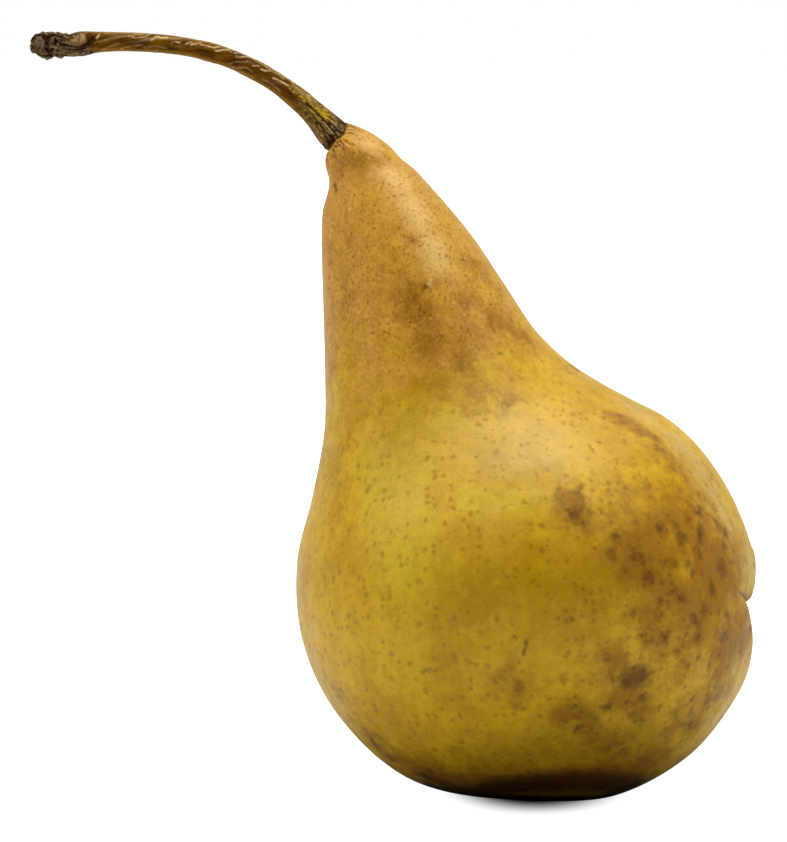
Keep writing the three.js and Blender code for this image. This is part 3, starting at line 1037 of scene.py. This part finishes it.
def blade(path, widths, thickness, sideways):
    """A thin flat tube along a path; sideways is the direction of its width."""
    path = np.asarray(path)
    along = np.gradient(path, axis=0)
    along /= np.linalg.norm(along, axis=1, keepdims=True)
    across = np.cross(along, sideways)
    turn = np.linspace(0, 2 * np.pi, 16, endpoint=False)[None, :, None]
    half = np.asarray(widths)[:, None, None] / 2
    flat = np.minimum(thickness, 2 * half) / 2
    return path[:, None] + sideways * half * np.cos(turn) + across[:, None] * flat * np.sin(turn)


def sepal(angle, random):
    """One dried pointed sepal, curled outwards at its tip."""
    outward = np.array([0.0, np.cos(angle), np.sin(angle)])
    sideways = np.array([0.0, -np.sin(angle), np.cos(angle)])
    share = np.linspace(0, 1, 24)
    curl = random.uniform(0.5, 1.3)
    reach = 1.3 + 1.1 * share + curl * share ** 3
    rise = 0.1 + 4.0 * share - random.uniform(0.4, 1.1) * share ** 3
    path = CALYX_FOOT + reach[:, None] * outward + rise[:, None] * np.array([1.0, 0.0, 0.0])
    path += 0.25 * np.sin(3 * share + random.uniform(0, 6))[:, None] * sideways
    widths = 2.2 * (1 - share ** 1.8) + 0.12
    return blade(path, widths, 0.35, sideways)


def stamen(angle, random):
    """One withered thread from the middle of the flower."""
    outward = np.array([0.0, np.cos(angle), np.sin(angle)])
    share = np.linspace(0, 1, 14)
    reach = random.uniform(0.3, 0.7) + random.uniform(0.0, 0.6) * share ** 2
    rise = 0.2 + random.uniform(1.6, 2.8) * share
    path = CALYX_FOOT + reach[:, None] * outward + rise[:, None] * np.array([1.0, 0.0, 0.0])
    widths = np.where(share > 0.85, 0.34, 0.2)
    return blade(path, widths, 0.3, np.array([0.0, -np.sin(angle), np.cos(angle)]))


def cup():
    """The low ring that the sepals grow on."""
    rings = np.array([[-0.3, 0.1], [-0.3, 1.7], [0.5, 2.0], [1.0, 1.9], [1.0, 1.4], [0.6, 0.9], [0.5, 0.1]])
    height, radius = smooth_line(in_plane(rings), np.linspace(0, len(rings) - 1, 40))[:, [0, 2]].T
    turn = np.linspace(0, 2 * np.pi, 64, endpoint=False)[None, :]
    return np.stack([
        CALYX_FOOT[0] + height[:, None] + 0 * turn,
        CALYX_FOOT[1] - radius[:, None] * np.sin(turn),
        CALYX_FOOT[2] + radius[:, None] * np.cos(turn),
    ], axis=-1)


def build_calyx():
    random = np.random.default_rng(CALYX_SEED)
    grids = [cup()]
    grids += [sepal(2 * np.pi * (i + random.uniform(-0.15, 0.15)) / SEPALS, random) for i in range(SEPALS)]
    grids += [stamen(2 * np.pi * i / STAMENS, random) for i in range(STAMENS)]
    for grid in grids:
        grid += grid_normals(grid) * (CALYX_CRUMPLE * fractal(grid, 0.6, 4, 5.0))[..., None]
    stand_for(tube_mesh("pear_calyx", grids), "calyx", calyx_material())


# ---- Stage ----

def add_camera():
    camera = bpy.data.objects.new("camera", bpy.data.cameras.new("camera"))
    bpy.context.scene.collection.objects.link(camera)
    camera.location = (CAMERA_AIM + TOWARDS_CAMERA * CAMERA_DISTANCE) * MM
    camera.rotation_euler = (np.pi / 2 - CAMERA_ELEVATION, 0.0, 0.0)
    camera.data.sensor_fit = "VERTICAL"
    camera.data.sensor_height = SENSOR_MM
    camera.data.lens = SENSOR_MM * CAMERA_DISTANCE / (IMAGE_HEIGHT_PX * PIXEL_MM)
    camera.data.clip_end = 50.0
    bpy.context.scene.camera = camera


def add_softbox(name, place, width, watts):
    lamp = bpy.data.lights.new(name, "AREA")
    lamp.shape = "SQUARE"
    lamp.size = width
    lamp.energy = watts
    box = bpy.data.objects.new(name, lamp)
    box.location = place
    box.rotation_euler = (Vector(LIGHTS_AIM) - Vector(place)).to_track_quat("-Z", "Y").to_euler()
    bpy.context.scene.collection.objects.link(box)


def add_floor():
    """A pale floor, darker grey under the pear as a painted shadow, that fades to white away from the pear.
    """
    look = Look("floor")
    look.surface.inputs["Roughness"].default_value = 0.9
    look.surface.inputs["Emission Color"].default_value = WHITE
    stretched = look.add("ShaderNodeVectorMath", {0: look.place, 1: (1.0, 0.7, 1.0)}, operation="MULTIPLY")
    length = look.add("ShaderNodeVectorMath", {0: stretched.outputs["Vector"]}, operation="LENGTH")
    distance = length.outputs["Value"]
    # painted shadow: darker grey under the pear
    grey = look.blend(look.spread(distance, 0.015, 0.06), FLOOR_PAINTED_SHADOW, FLOOR_AROUND)
    look.feed(look.surface.inputs["Base Color"], grey)
    seen = look.add("ShaderNodeLightPath").outputs["Is Camera Ray"]
    glow = look.maths("MULTIPLY", look.spread(distance, 0.007, 0.015), seen)
    look.feed(look.surface.inputs["Emission Strength"], glow)
    mesh = bpy.data.meshes.new("floor")
    corners = [(x * FLOOR_REACH, y * FLOOR_REACH, 0) for x, y in ((-1, -1), (1, -1), (1, 1), (-1, 1))]
    mesh.from_pydata(corners, [], [(0, 1, 2, 3)])
    mesh.materials.append(look.material)
    floor = bpy.data.objects.new("floor", mesh)
    bpy.context.scene.collection.objects.link(floor)


def add_world():
    """White behind everything; what lights the pear is bright behind it and dark on the near side."""
    world = bpy.data.worlds.new("studio")
    world.use_nodes = True
    nodes, links = world.node_tree.nodes, world.node_tree.links
    direction = nodes.new("ShaderNodeTexCoord").outputs["Generated"]
    split = nodes.new("ShaderNodeSeparateXYZ")
    links.new(direction, split.inputs["Vector"])
    behind = nodes.new("ShaderNodeMapRange")
    for name, value in {"From Min": -0.1, "From Max": 0.5, "To Min": 0.02, "To Max": 0.6}.items():
        behind.inputs[name].default_value = value
    links.new(split.outputs["Y"], behind.inputs["Value"])
    seen = nodes.new("ShaderNodeLightPath").outputs["Is Camera Ray"]
    strength = nodes.new("ShaderNodeMath")
    strength.operation = "MAXIMUM"
    links.new(seen, strength.inputs[0])
    links.new(behind.outputs["Result"], strength.inputs[1])
    links.new(strength.outputs["Value"], nodes["Background"].inputs["Strength"])
    nodes["Background"].inputs["Color"].default_value = WHITE
    bpy.context.scene.world = world


def light_studio():
    for softbox in SOFTBOXES:
        add_softbox(*softbox)
    bpy.context.scene.view_settings.view_transform = "Standard"


add_camera()
build_fruit()
build_stem()
build_calyx()
add_floor()
add_world()
light_studio()
